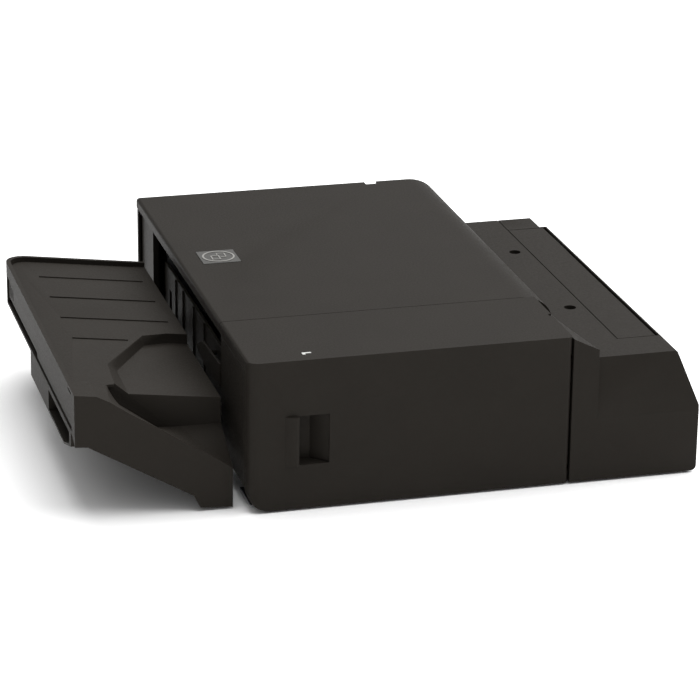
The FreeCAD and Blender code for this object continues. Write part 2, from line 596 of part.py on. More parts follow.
# ---------------------------------------------------------------- bridge lid
def bridge_lid():
    """Access lid of the entrance bridge: a flat skin that ends in a hinge bead."""
    x, z = LID_PIVOT
    skin = block(LID_X0 + 0.2, x, LID_V0, LID_V1, Z_BRIDGE - WALL, Z_BRIDGE)
    bead = rod(x, z, LID_BEAD, LID_V0, LID_V1)
    edge = block(LID_X0 + 1.5, LID_X0 + 3.3, LID_V0 + 2, LID_V1 - 2, Z_BRIDGE - 4.5, Z_BRIDGE - 1)
    ix, iz = LID_IDLER_AXIS
    brackets = [side_prism([(ix - 6, Z_BRIDGE - 1), (ix - 6, iz - 3), (ix - 3, iz - 6),
                            (ix + 3, iz - 6), (ix + 6, iz - 3), (ix + 6, Z_BRIDGE - 1)], v, v + 3)
                for v in (141, 389.5)]
    ribs = [block(LID_X0 + 3, x - 2, v, v + 1.6, Z_BRIDGE - 4, Z_BRIDGE - 1) for v in (90, 190, 345)]
    lid = fuse(skin, bead, edge, *brackets, *ribs)
    lid = lid.cut(rod(ix, iz, IDLER_AXLE_R + BORE_GAP, 130, 400))
    for v0, v1 in ((LID_V0 - 1, LID_V0 + 10), (LID_V1 - 10, LID_V1 + 1)):
        lid = lid.cut(rod(x, z, 2 + BORE_GAP, v0, v1))
    return lid


def lid_idler():
    """Free roller under the lid: axle and four rolls in one moulding."""
    x, z = LID_IDLER_AXIS
    rolls = [rod(x, z, LID_IDLER_R, a, b) for a, b in ROLL_BANDS]
    return fuse(rod(x, z, IDLER_AXLE_R, 139, 394.4), *rolls)


# ---------------------------------------------------------------- front door
def front_door():
    """Front face, top strip and left corner in one moulding, hinged on a bead at the right."""
    px, pv = DOOR_PIVOT
    v1 = V_TOP_SEAM - 0.4

    def hull(inset, v_end, x_end):
        x0, r = X_LEFT + inset, DOOR_CORNER_R - inset
        plan = block(x0, x_end, inset and FACE_WALL, v_end, -5 if inset else DOOR_Z0, HEIGHT - inset)
        plan = rounded(plan, r, lambda x, v, z: near(x, x0) and near(v, inset and FACE_WALL))
        elevation = door_elevation(inset, x_end)
        return plan.common(elevation)
    shell = hull(0, v1, px).cut(hull(WALL, v1 + 5, px + 20))
    shell = shell.cut(block(X_LEFT - 1, X_LEFT + WALL + 0.01, DOOR_WRAP, 200, -5, LIP_Z))
    shell = shell.cut(block(X_LEFT - 1, X_LEFT + 30, DOOR_WRAP, 200, -5, 40))
    strip_end = block(px - 1, X_SEAM, pv, v1, HEIGHT - WALL, HEIGHT)
    bead = post(px, pv, DOOR_BEAD, DOOR_Z0, HEIGHT)
    web = block(px - 6, px, FACE_WALL - 1, 8, DOOR_Z0, HEIGHT - 1)
    bottom_lip = block(X_LEFT + 22, px - 6, FACE_WALL - 0.5, 7.5, DOOR_Z0, DOOR_Z0 + 2)
    back_lip = block(X_LEFT + 14, px - 20, v1 - 1.8, v1, HEIGHT - 5, HEIGHT - 1)
    ribs = [block(x, x + 1.8, FACE_WALL - 0.5, 7, DOOR_Z0 + 1, HEIGHT - 1)
            for x in (X_LEFT + 110, X_LEFT + 190, X_LEFT + 250)]
    well = block(RECESS_X0 - 2.2, RECESS_X1 + 2.2, 0.5, 18, RECESS_Z0 - 2.2, RECESS_Z1 + 2.2)
    ridge = plan_prism([(RECESS_X0 - RIDGE_W - 1, 0.5), (RECESS_X0 - RIDGE_W - 1, 0),
                        (RECESS_X0 - 8, -RIDGE + 0.4), (RECESS_X0 - 3, -RIDGE), (RECESS_X0, -RIDGE + 1),
                        (RECESS_X0, 0.5)], RECESS_Z0, RECESS_Z1)
    magnet_pad = block(X_LEFT + 30, X_LEFT + 46, FACE_WALL - 0.5, 30, 118, 122)
    door = fuse(shell, strip_end, bead, web, bottom_lip, back_lip, well, ridge, magnet_pad, *ribs)
    recess = plan_prism([(RECESS_X0, -10), (RECESS_X0 - 1.2, 5), (RECESS_X0, 15.5), (RECESS_X0 + 14, 15.5),
                         (RECESS_X1 - 1, 2), (RECESS_X1, -10)], RECESS_Z0, RECESS_Z1)
    door = door.cut(recess)
    for z0, z1 in HINGE_LEAVES:
        door = door.cut(post(px, pv, 2 + BORE_GAP, z0 - 9, z1 + 9))
        door = door.cut(block(px - 9, px + 6, 1.2, 30, z0 - 0.4, z1 + 0.4))
    notch = block(X_SEAM - 3, X_SEAM + 1, 62, 67, HEIGHT - 3, HEIGHT + 1)
    return door.cut(notch).cut(lamp_outline(0, HEIGHT - 4, HEIGHT + 1))


def door_elevation(inset, x_end):
    """Front view outline of the door: round lower left corner and soft top left edge."""
    x0, y, top = X_LEFT + inset, Y_FACE - 20, HEIGHT - inset
    z0 = DOOR_Z0 if not inset else DOOR_Z0 + inset - WALL
    r_low, r_top = DOOR_LOW_CORNER_R - inset, TOP_EDGE_R - inset
    k = 1 - math.sqrt(0.5)
    edges = [Part.Arc(V(x0, y, z0 + r_low), V(x0 + k * r_low, y, z0 + k * r_low),
                      V(x0 + r_low, y, z0)).toShape(),
             Part.makeLine(V(x0 + r_low, y, z0), V(x_end, y, z0)),
             Part.makeLine(V(x_end, y, z0), V(x_end, y, top)),
             Part.makeLine(V(x_end, y, top), V(x0 + r_top, y, top)),
             Part.Arc(V(x0 + r_top, y, top), V(x0 + k * r_top, y, top - k * r_top),
                      V(x0, y, top - r_top)).toShape(),
             Part.makeLine(V(x0, y, top - r_top), V(x0, y, z0 + r_low))]
    return Part.Face(Part.Wire(edges)).extrude(V(0, 220, 0))


LAMP = (X_LEFT + 55.0, 15.0)
HINGE_LEAVES = ((16.0, 19.0), (128.0, 131.0))


def lamp_outline(gap, z0, z1):
    """L-shaped light pipe, or with no gap the hole that it sits in."""
    x, v = LAMP
    long_arm = block(x + gap, x + 9 - gap, v + 1.6 + gap, v + 4.4 - gap, z0, z1)
    return long_arm.fuse(block(x + gap, x + 3.2 - gap, v - 1 + gap, v + 4.4 - gap, z0, z1)).removeSplitter()


def status_lamp():
    return lamp_outline(0.15, HEIGHT - 3.9, HEIGHT + 0.2)


def hinge_pins():
    """Steel pins of the front door and of the bridge lid."""
    px, pv = DOOR_PIVOT
    x, z = LID_PIVOT
    door = [post(px, pv, 2, z0 - 8, z1 + 8) for z0, z1 in HINGE_LEAVES]
    return group(*door, rod(x, z, 2, LID_V0 - 4.5, LID_V0 + 9), rod(x, z, 2, LID_V1 - 9, LID_V1 + 3.5))


def door_hinge_brackets():
    """Steel leaves that reach from the front frame to the hinge pins."""
    px, pv = DOOR_PIVOT
    leaves = []
    for z0, z1 in HINGE_LEAVES:
        leaf = fuse(block(px - 2.8, px + 2.8, pv, V_FRONT_FRAME, z0, z1), post(px, pv, 3.2, z0, z1))
        foot = block(px - 2.8, px + 2.8, V_FRONT_FRAME - SHEET, V_FRONT_FRAME, z0 - 9, z1)
        leaves.append(fuse(leaf, foot).cut(post(px, pv, 2, z0 - 1, z1 + 1)))
    return group(*leaves)


def door_magnet():
    return block(X_LEFT + 31, X_LEFT + 45, 30, V_FRONT_FRAME, 117, 123)


# ---------------------------------------------------------------- paper path
def guide_plate(x0, x1, side):
    """Sheet guide below (side -1) or above (side 1) the path, with ends turned away from it."""
    near_z = [path_z(x) + side * GUIDE_GAP for x in (x0, x1)]
    far = side * SHEET
    outline = [(x0, near_z[0]), (x1, near_z[1]), (x1, near_z[1] + far), (x0, near_z[0] + far)]
    v0, v1 = V_FRONT_FRAME + SHEET, V_REAR_FRAME
    plate = side_prism(outline, v0, v1)
    lips = []
    for x, z in ((x0, near_z[0]), (x1 - SHEET, near_z[1])):
        low, high = sorted((z + far * 0.5, z + side * 5))
        lips.append(block(x, x + SHEET, v0, v1, low, high))
    return fuse(plate, *lips)


def paper_guides():
    """Fixed guides: two below the path and one above it."""
    return group(guide_plate(FEED_X + 12, ENTRY_X - 12, -1), guide_plate(X_LEFT + 140, FEED_X - 12, -1),
                 guide_plate(X_LEFT + 316, LID_X0 - 4, 1))


def compile_plate():
    """Sloping plate on which the sheets are squared and stapled."""
    x0, x1 = COMPILE_X0, COMPILE_X1
    outline = [(x0, compile_z(x0)), (x1, compile_z(x1)), (x1, compile_z(x1) - SHEET),
               (x0, compile_z(x0) - SHEET)]
    plate = side_prism(outline, V_FRONT_FRAME + SHEET, V_REAR_FRAME)
    x, v = TAMPER_PIVOT
    slots = [block(x - 20, x - 9, 121, 170, 80, 120), block(x + 9, x + 20, 370, 419, 80, 120)]
    stop = block(x1 - SHEET, x1, 190, 350, COMPILE_Z1 - SHEET, COMPILE_Z1 + 9)
    return fuse(plate.cut(slots[0]).cut(slots[1]), stop)


def shaft(axis, v0, v1):
    return rod(*axis, SHAFT_R, v0, v1)


def rolls(axis, radius, bands):
    """Rubber rings pushed onto a shaft."""
    return group(*[rod(*axis, radius, a, b).cut(rod(*axis, SHAFT_R, a - 1, b + 1)) for a, b in bands])


def pulley(axis, radius, belt_v, bore):
    """Belt pulley with a thin flange on each side."""
    v0, v1 = belt_v[0] - 0.5, belt_v[1] + 0.5
    body = fuse(rod(*axis, radius, v0 - 1, v1 + 1), rod(*axis, radius + 2.2, v0 - 1, v0),
                rod(*axis, radius + 2.2, v1, v1 + 1))
    return body.cut(rod(*axis, bore, v0 - 5, v1 + 5))


def entrance_shaft():
    return shaft(ENTRANCE_AXIS, FRONT_BELT_V[0] - 3, V_REAR_FRAME + 2.5)


def entrance_rolls():
    return rolls(ENTRANCE_AXIS, DRIVE_R, ROLL_BANDS)


def entrance_pulley():
    return pulley(ENTRANCE_AXIS, PULLEY_R, FRONT_BELT_V, SHAFT_R)


def feed_shaft():
    return shaft(FEED_AXIS, 74, REAR_BELT_V[1] + 3)


def feed_rolls():
    return rolls(FEED_AXIS, DRIVE_R, ROLL_BANDS)


def feed_pulleys():
    return group(pulley(FEED_AXIS, PULLEY_R, FRONT_BELT_V, SHAFT_R),
                 pulley(FEED_AXIS, PULLEY_R, REAR_BELT_V, SHAFT_R))


def feed_idler():
    """Free roller over the feed rolls, moulded with its axle."""
    bands = [rod(*FEED_IDLER_AXIS, FEED_IDLER_R, a, b) for a, b in ROLL_BANDS]
    return fuse(shaft(FEED_IDLER_AXIS, V_FRONT_FRAME - 1, V_REAR_FRAME + 2.5), *bands)


def jam_knob():
    """Fluted knob on the feed shaft for turning a jammed sheet out by hand."""
    x, z = FEED_AXIS
    knob = rod(x, z, 13, 72, 92)
    for k in range(12):
        a = math.radians(30 * k)
        knob = knob.cut(rod(x + 14.2 * math.cos(a), z + 14.2 * math.sin(a), 2.4, 70, 90))
    return knob.cut(rod(x, z, SHAFT_R, 74, 95))


def exit_shaft():
    return shaft(EXIT_AXIS, 106, REAR_BELT_V[1] + 3)


def exit_rolls():
    return rolls(EXIT_AXIS, DRIVE_R, EXIT_BANDS)


def exit_pulley():
    return pulley(EXIT_AXIS, PULLEY_R, REAR_BELT_V, SHAFT_R)


def exit_arm():
    """Rocker that carries the upper exit roller, one piece with its pivot shaft."""
    ax, az = ARM_AXIS
    ix, iz = EXIT_IDLER_AXIS
    arms = []
    for v in (196, 348):
        web = side_prism([(ax, az - 5), (ax, az + 5), (ix, iz + 5.5), (ix, iz - 5.5)], v, v + 4)
        arms.append(fuse(web, rod(ax, az, 7, v, v + 4), rod(ix, iz, 5.5, v, v + 4)))
    tie = block(ax - 22, ax - 12, 199, 349, az - 2, az + 1)
    body = fuse(shaft(ARM_AXIS, 104, V_REAR_FRAME + 2.5), tie, *arms)
    return body.cut(rod(ix, iz, IDLER_AXLE_R + BORE_GAP, 190, 360))


def exit_idler():
    bands = [rod(*EXIT_IDLER_AXIS, EXIT_IDLER_R, a, b) for a, b in EXIT_BANDS]
    return fuse(rod(*EXIT_IDLER_AXIS, IDLER_AXLE_R, 194, 354), rod(*EXIT_IDLER_AXIS, 4.2, 225, 323), *bands)


def jam_guide():
    """Hinged upper guide that lifts off the path, with a finger lever in front of the frame."""
    x, z = GUIDE_AXIS
    tip_x = X_LEFT + 306
    plate = side_prism([(x - 2, z - 3), (x, z - 3), (x + 6, path_z(x + 6) + 4.5), (tip_x, path_z(tip_x) + 3),
                        (tip_x, path_z(tip_x) + 4.5), (x + 7, path_z(x + 7) + 6), (x + 2, z)], 124, 420)
    lever = side_prism([(x - 5, z - 5), (x + 5, z - 5), (x + 34, z - 1), (x + 34, z + 6), (x + 5, z + 6),
                        (x - 5, z + 5)], 84, 92)
    return fuse(shaft(GUIDE_AXIS, 84, V_REAR_FRAME + 2.5), plate, lever)


def paddle_shaft():
    return shaft(PADDLE_AXIS, 96, V_REAR_FRAME + 2.5)


def paddle_wheels():
    """Rubber hubs with three blades that sweep sheets down the compile plate."""
    x, z = PADDLE_AXIS
    wheels = []
    for v0, v1 in PADDLE_BANDS:
        hub = rod(x, z, 7, v0, v1)
        for k in range(3):
            blade = block(x, x + PADDLE_REACH, v0, v1, z + 4.2, z + 6)
            blade.rotate(V(x, 0, z), V(0, 1, 0), 120 * k + 20)
            hub = fuse(hub, blade)
        wheels.append(hub.cut(rod(x, z, SHAFT_R, v0 - 1, v1 + 1)))
    return group(*wheels)


def paddle_motor():
    x, z = PADDLE_AXIS
    body = fuse(rod(x, z, 13, 84, V_FRONT_FRAME - 2), block(x - 18, x + 18, V_FRONT_FRAME - 2, V_FRONT_FRAME,
                                                            z - 15, z + 15))
    return body.cut(rod(x, z, SHAFT_R + BORE_GAP, 90, 120)).cut(rod(x, z, 8, V_FRONT_FRAME - 2, 120))


# ---------------------------------------------------------------- drive
def drive_motor():
    """Can motor on the inside of the rear frame."""
    x, z = MOTOR_AXIS
    body = fuse(rod(x, z, 17, V_REAR_FRAME - 33, V_REAR_FRAME - 2),
                block(x - 19, x + 19, V_REAR_FRAME - 2, V_REAR_FRAME, z - 19, z + 19))
    return body.cut(rod(x, z, 3 + BORE_GAP, V_REAR_FRAME - 20, V_REAR_FRAME + 2))


def motor_rotor():
    """Motor shaft with its belt pulley."""
    x, z = MOTOR_AXIS
    v0, v1 = REAR_BELT_V
    return fuse(rod(x, z, 3, V_REAR_FRAME - 18, v1 + 3), rod(x, z, MOTOR_PULLEY_R, v0 - 1.5, v1 + 1.5),
                rod(x, z, MOTOR_PULLEY_R + 2.2, v0 - 1.5, v0 - 0.5),
                rod(x, z, MOTOR_PULLEY_R + 2.2, v1 + 0.5, v1 + 1.5))


def timing_belts():
    """Rear belt from the motor to the feed and exit shafts, front belt on to the entrance shaft."""
    feed = (*FEED_AXIS, PULLEY_R)
    return group(belt([(*MOTOR_AXIS, MOTOR_PULLEY_R), feed, (*EXIT_AXIS, PULLEY_R)], *REAR_BELT_V),
                 belt([feed, (*ENTRANCE_AXIS, PULLEY_R)], *FRONT_BELT_V))


HARNESS_X, HARNESS_Z = X_LEFT + 260.0, 15.0
BOARD_X0, BOARD_X1 = X_LEFT + 240.0, X_LEFT + 308.0
BOARD_V = V_REAR_FRAME + SHEET + 6.0
DOCK_V0, DOCK_V1 = 300.0, 340.0


def control_board():
    """Circuit board with its larger parts, on four pillars behind the rear frame."""
    z0, z1 = 34.0, 96.0
    board = block(BOARD_X0, BOARD_X1, BOARD_V, BOARD_V + 1.6, z0, z1)
    pillars = [rod(x, z, 3, V_REAR_FRAME + SHEET, BOARD_V) for x in (BOARD_X0 + 5, BOARD_X1 - 5)
               for z in (z0 + 5, z1 - 5)]
    top = BOARD_V + 1.5
    parts = [block(BOARD_X0 + 10, BOARD_X0 + 28, top, top + 3, 60, 78),
             block(BOARD_X0 + 36, BOARD_X0 + 60, top, top + 9, 80, 88),
             block(BOARD_X0 + 36, BOARD_X0 + 60, top, top + 9, 60, 68),
             rod(BOARD_X0 + 54, 48, 5, top, top + 14), rod(BOARD_X0 + 40, 48, 4, top, top + 12),
             block(HARNESS_X - 8, HARNESS_X + 8, top, top + 8, 38, 46)]
    return fuse(board, *pillars, *parts)


def docking_connector():
    """Plug that meets the printer's socket through the right end."""
    body = block(X_RIGHT - 22, X_RIGHT - 0.4, DOCK_V0, DOCK_V1, 20, 40)
    body = body.cut(block(X_RIGHT - 8, X_RIGHT + 1, DOCK_V0 + 3, DOCK_V1 - 3, 23, 37))
    tongue = block(X_RIGHT - 9, X_RIGHT - 2.5, DOCK_V0 + 8, DOCK_V1 - 8, 28, 32)
    foot = block(X_RIGHT - 24, X_RIGHT - 12, DOCK_V0 + 6, DOCK_V1 - 6, FLOOR_Z + SHEET, 21)
    return fuse(body, tongue, foot)


def cable(points, radius, bend):
    """Round cable along straight runs joined by tangent arcs."""
    edges = []
    start = points[0]
    for before, corner, after in zip(points, points[1:], points[2:]):
        along, onward = (corner - before).normalize(), (after - corner).normalize()
        arc_start, arc_end = corner - along * bend, corner + onward * bend
        centre = corner + (onward - along) * bend
        middle = centre - (onward - along).normalize() * bend
        edges += [Part.makeLine(start, arc_start), Part.Arc(arc_start, middle, arc_end).toShape()]
        start = arc_end
    edges.append(Part.makeLine(start, points[-1]))
    spine = Part.Wire(edges)
    ring = Part.Wire(Part.makeCircle(radius, points[0], points[1] - points[0]))
    return spine.makePipeShell([ring], True, False)


def wiring_harness():
    """Cable from the control board to the docking connector."""
    v0, v1 = BOARD_V + 5.5, (DOCK_V0 + DOCK_V1) / 2
    spots = ((HARNESS_X, v0, 38), (HARNESS_X, v0, HARNESS_Z), (HARNESS_X, v1, HARNESS_Z),
             (X_RIGHT - 24, v1, HARNESS_Z))
    return cable([V(x, Y_FACE + v, z) for x, v, z in spots], 2.6, 9)


# ---------------------------------------------------------------- tampers and stapler
def tamper(front):
    """Jogger wall on the compile plate, its rack and the post that joins them."""
    x, v = TAMPER_PIVOT
    side = -1 if front else 1
    near_v, far_v = (123.0, v + 24) if front else (v - 24, 417.0)
    out = x + side * (LIFT_MODULE * LIFT_TEETH / 2)
    centre = v + math.pi * LIFT_MODULE / 2
    first, last = (v - 52, v + 22) if front else (v - 22, v + 52)
    teeth = rack_teeth(first, last, centre, LIFT_MODULE)
    spine = [(out + side * 6, near_v), (out + side * 6, far_v), (out + side * 1.1, far_v)]
    spine += [(out - side * t, a) for a, t in reversed(teeth)]
    spine += [(out + side * 1.1, near_v)]
    rack = plan_prism(spine, TAMPER_BAR_Z + 0.2, TAMPER_BAR_Z + 5.2)
    wall_v = 123.0 if front else 414.0
    post_x0, post_x1 = sorted((out + side * 1.5, out + side * 5.5))
    stem = block(post_x0, post_x1, wall_v, wall_v + 3, TAMPER_BAR_Z + 1, compile_z(post_x0) + 5)
    x0, x1 = COMPILE_X0 + 3, COMPILE_X0 + 62
    wall = side_prism([(x0, compile_z(x0) + 0.6), (x1, compile_z(x1) + 0.6), (x1, compile_z(x1) + 12),
                       (x0, compile_z(x0) + 6)], wall_v, wall_v + 3)
    return fuse(rack, stem, wall)


def front_tamper():
    return tamper(True)


def rear_tamper():
    return tamper(False)


def tamper_pinion():
    x, v = TAMPER_PIVOT
    gear = involute_gear(LIFT_TEETH, LIFT_MODULE, 5, 0, 0)
    gear.translate(V(x, Y_FACE + v, TAMPER_BAR_Z + 0.2))
    return fuse(gear, post(x, v, 3, 60, TAMPER_BAR_Z + 1))


def tamper_motor():
    x, v = TAMPER_PIVOT
    z1 = TAMPER_BAR_Z - SHEET
    body = fuse(post(x, v, 15, 52, z1 - 2), block(x - 18, x + 18, v - 18, v + 18, z1 - 2, z1))
    return body.cut(post(x, v, 3 + BORE_GAP, 58, 100))


def stapler_rail():
    return rod(*STAPLER_RAIL, STAPLER_RAIL_R, V_FRONT_FRAME, V_REAR_FRAME + SHEET)


def stapler_body():
    """Carriage with the open throat at the left and the cartridge bay at the front."""
    x0, x1, v0, v1 = STAPLER_X0, STAPLER_X1, STAPLER_V0, STAPLER_V1
    outline = [(x0 + 6, 30), (x0 + 6, 60), (x0, 66), (x0, STAPLER_TOP - 3), (x0 + 4, STAPLER_TOP),
               (x1 - 10, STAPLER_TOP), (x1, STAPLER_TOP - 12), (x1, 14), (x0 + 26, 14)]
    body = side_prism(outline, v0, v1)
    body = body.cut(block(x0 - 1, x0 + 20, v0 - 1, v1 + 1, THROAT_Z, THROAT_Z + 6))
    cx0, cx1, cz0, cz1 = CARTRIDGE
    body = body.cut(block(cx0 - 0.6, cx1 + 0.6, v0 - 1, v1 - 4, cz0 - 0.6, cz1 + 0.6))
    body = body.cut(rod(*STAPLER_RAIL, STAPLER_RAIL_R + BORE_GAP, v0 - 1, v1 + 1))
    for k in range(4):
        z = 66 + 4 * k
        body = body.cut(block(x0 + 24, x1 - 6, v0 - 1, v0 + 1.2, z, z + 1.6))
    return body


CARTRIDGE = (STAPLER_RAIL[0] - 15.0, STAPLER_RAIL[0] + 11.0, 31.5, 55.0)


def staple_cartridge():
    """Pull-out staple magazine with a finger tab."""
    x0, x1, z0, z1 = CARTRIDGE
    v0 = STAPLER_V0 - 3
    box = block(x0, x1, v0, STAPLER_V1 - 5, z0, z1)
    box = box.cut(block(x0 + 3, x1 - 3, v0 + 6, STAPLER_V1 - 9, z0 + 3, z1 + 1))
    tab = block(x0 + 8, x1 - 8, v0 - 12, v0 + 1, z0 + 8, z0 + 12)
    return fuse(box, tab)


# ---------------------------------------------------------------- output tray
V_SCOOP = 70.0               # back of the hand scoop in the tray's front right corner
POCKET = [(X_LEFT - 112, V_SCOOP - 2), (X_LEFT - 108, 122), (X_LEFT - 57, 208), (X_LEFT - 30, 218),
          (TRAY_X1 + 5, 218), (TRAY_X1 + 5, V_SCOOP - 2)]
POCKET_FLOOR = [(X_LEFT - 98, V_SCOOP - 2), (X_LEFT - 97, 131), (X_LEFT - 55, 208)] + POCKET[3:]
EDGE_V0, EDGE_V1 = 54.0, 67.0    # front edge of the deck, at the left end and at the pocket
TRAY_CORNER_R = 26.0             # round back left corner of the tray
RAMP_FRONT = [(X_TRAY, rim_z(X_TRAY)), (X_TRAY + 21, rim_z(X_TRAY + 21)), (X_TRAY + 33, 117.3),
              (X_TRAY + 52, 104), (X_TRAY + 83, 84.5), (X_TRAY + 98, 74), (X_TRAY + 127, 56.5), (TRAY_X1, 41)]
RAMP_BACK = [(X_TRAY, rim_z(X_TRAY)), (X_TRAY + 21, rim_z(X_TRAY + 21)),
             (X_TRAY + 39, deck_z(X_TRAY + 39)), (X_TRAY + 46.2, 98), (X_TRAY + 86.5, 68.4),
             (X_TRAY + 98, 67.7), (X_TRAY + 109, 67.3), (TRAY_X1, 67.6)]
WALL_FOOT = [(TRAY_X1, 2), (X_TRAY + 139, 2.7), (X_TRAY + 117, 4), (X_TRAY + 111, 16.7),
             (X_TRAY + 12, 74.6), (X_TRAY, 75.7)]
RIB_V = (191.5, 251.5, 313.5, 376.5)


def sloped(x0, x1, v0, v1, drop0, drop1):
    """Slab parallel to the deck, between two depths below it."""
    outline = [(x0, deck_z(x0) - drop0), (x1, deck_z(x1) - drop0), (x1, deck_z(x1) - drop1),
               (x0, deck_z(x0) - drop1)]
    return side_prism(outline, v0, v1)


def tray_plan(inset):
    """Everything inside the tray's outline, less a margin."""
    x0, v1 = X_TRAY + inset, TRAY_V1 - inset
    space = block(x0, TRAY_X1, 0, v1, 60, 140)
    return rounded(space, TRAY_CORNER_R - inset, lambda x, v, z: near(x, x0) and near(v, v1))


def pocket_space():
    """Hollow of the pocket, with a sloping left side."""
    def outline(points, drop):
        return Part.makePolygon([V(x, Y_FACE + v, deck_z(x) - drop) for x, v in points + points[:1]])
    return Part.makeLoft([outline(POCKET, -0.5), outline(POCKET_FLOOR, POCKET_DEPTH)], True, True)


def ramp_loft(lower_edge):
    """Solid under the ramp's surface, from the front wall back to the scoop's wall."""
    def outline(ramp, v):
        points = ramp + lower_edge(ramp)
        return Part.makePolygon([V(x, Y_FACE + v, z) for x, z in points + points[:1]])
    return Part.makeLoft([outline(RAMP_FRONT, TRAY_V0), outline(RAMP_BACK, V_SCOOP)], True, True)


def scoop():
    """Ramp and ledge between the front wall and the deck, with the wall behind them."""
    x0, x1, x_pocket, x_floor = X_TRAY, TRAY_X1, POCKET[0][0], POCKET_FLOOR[0][0]
    floor = ramp_loft(lambda ramp: [(x, z - 3) for x, z in reversed(ramp)])
    behind = plan_prism([(x0 - 1, EDGE_V0), (x_pocket, EDGE_V1), (x_pocket, V_SCOOP + 0.5),
                         (x0 - 1, V_SCOOP + 0.5)], 60, 140)
    floor = floor.cut(behind.cut(sloped(x0 - 5, x1, 0, 500, 0, 80)))
    corner_deck = behind.common(sloped(x0, x_pocket, EDGE_V0 - 5, V_SCOOP + 0.5, 0, SKIN))
    riser = plan_prism([(x0, EDGE_V0 - SKIN), (x_pocket, EDGE_V1 - SKIN), (x_pocket, EDGE_V1), (x0, EDGE_V0)],
                       60, 140)
    riser = riser.common(sloped(x0, x_pocket, 40, 80, -RIM, SKIN))
    riser = riser.common(ramp_loft(lambda ramp: [(x1, 30), (x0, 30)]))
    back = [RAMP_BACK[2], (x_pocket, deck_z(x_pocket)), (x_floor, deck_z(x_floor) - POCKET_DEPTH),
            (x1, deck_z(x1) - POCKET_DEPTH)]
    back += [(x, z - 3) for x, z in reversed(RAMP_BACK[2:])]
    return fuse(floor, corner_deck, riser, side_prism(back, V_SCOOP - 0.5, V_SCOOP + SKIN))


def tray_deck():
    """Sheet deck with rims, pocket, hand scoop and the sloping front wall in one moulding."""
    x0, x1, v0, v1 = X_TRAY, TRAY_X1, TRAY_V0, TRAY_V1
    v_round = v1 - TRAY_CORNER_R
    skirt = tray_plan(0).cut(tray_plan(SKIN))
    deck = sloped(x0, x1, V_SCOOP - 0.5, v1, 0, SKIN).common(tray_plan(0)).cut(pocket_space())
    rim = tray_plan(0).cut(tray_plan(RIM)).common(sloped(x0 - 1, x1, EDGE_V0 - SKIN, v1 + 1, -RIM, 1))
    back_wall = skirt.common(sloped(x0 - 1, x1, v_round, v1 + 1, 0, 40))
    brow = block(x0, x0 + SKIN, v0, v_round + 1, EXT_TOP_Z + 0.6, deck_z(x0) - 0.4)
    front = side_prism(RAMP_FRONT + WALL_FOOT, v0, v0 + SKIN)
    front_post = front_prism([(v0, 75.7), (v0, 124), (v0 + 16, 124), (v0 + 16, BAND_Z1 - 1.4)], x0, x0 + SKIN)
    rear_post = block(x0, x0 + SKIN, EXT_V1 + 2, v_round + 1, BAND_Z0, 120)
    band = block(x0, x0 + SKIN, v0 + 8, v_round + 1, BAND_Z0, BAND_Z1)
    shelf = block(x0, x0 + 50, v0 + 8, v_round + 1, BAND_Z0, BAND_Z0 + 2)
    shelf = shelf.fuse(block(x0, x0 + 50, v_round, v1, BAND_Z0, BAND_Z0 + 2).common(tray_plan(0)))
    tray = fuse(deck, rim, back_wall, brow, tray_bowl(), scoop(), front, front_post, rear_post, band, shelf)
    groove = tray_plan(RIM).cut(tray_plan(RIM + 1.8)).common(sloped(x0, x1 - 12, EDGE_V0 + 4, v1, -0.5, 1.3))
    tray = tray.cut(groove)
    ribs = [sloped(x0 + 29, x1 - 12, v, v + 2.2, -1.1, 0.5) for v in RIB_V[1:]]
    ribs.append(sloped(x0 + 30, x0 + 84, RIB_V[0], RIB_V[0] + 2.2, -1.1, 0.5))
    return fuse(tray, *ribs)


def tray_bowl():
    """Lowered floor and side walls of the pocket, open towards the scoop."""
    x1 = TRAY_X1
    outline = [(POCKET[0][0] - SKIN, V_SCOOP)]
    outline += [(x - SKIN * 0.7, v + SKIN * 0.8) for x, v in POCKET[1:4]]
    outline += [(x1, POCKET[4][1] + SKIN), (x1, V_SCOOP)]
    slab = sloped(X_TRAY, x1, 0, 500, 0, POCKET_DEPTH + SKIN)
    return plan_prism(outline, 60, 140).common(slab).cut(pocket_space())


EXT_DROP = POCKET_DEPTH + SKIN + 0.6
EXT_TOP_Z = 112.0
BAND_Z0, BAND_Z1 = 82.0, 85.0    # bar across the tray's left end, below the extension


def tray_extension():
    """Pull-out tray extension: a plate under the deck and its end face."""
    x0, x1 = X_TRAY + 1.5, TRAY_X1 - 8
    plate = sloped(x0, x1, V_SCOOP + SKIN + 2, EXT_V1, EXT_DROP, EXT_DROP + SKIN)
    low, high, top = BAND_Z1 + 1, BAND_Z1 + 6, EXT_TOP_Z - 1
    face = front_prism([(EXT_V0, low), (230, low), (235, high), (EXT_V1, high), (EXT_V1, top), (EXT_V0, top)],
                       x0, x0 + SKIN)
    lip = block(x0, x0 + 9, EXT_V0 + 40, 228, low, low + 2.5)
    plate = fuse(plate, face, lip)
    for v in (376, 384, 392):
        plate = plate.cut(block(x0 - 1, x0 + SKIN + 1, v, v + 3, 94, 106))
    return plate


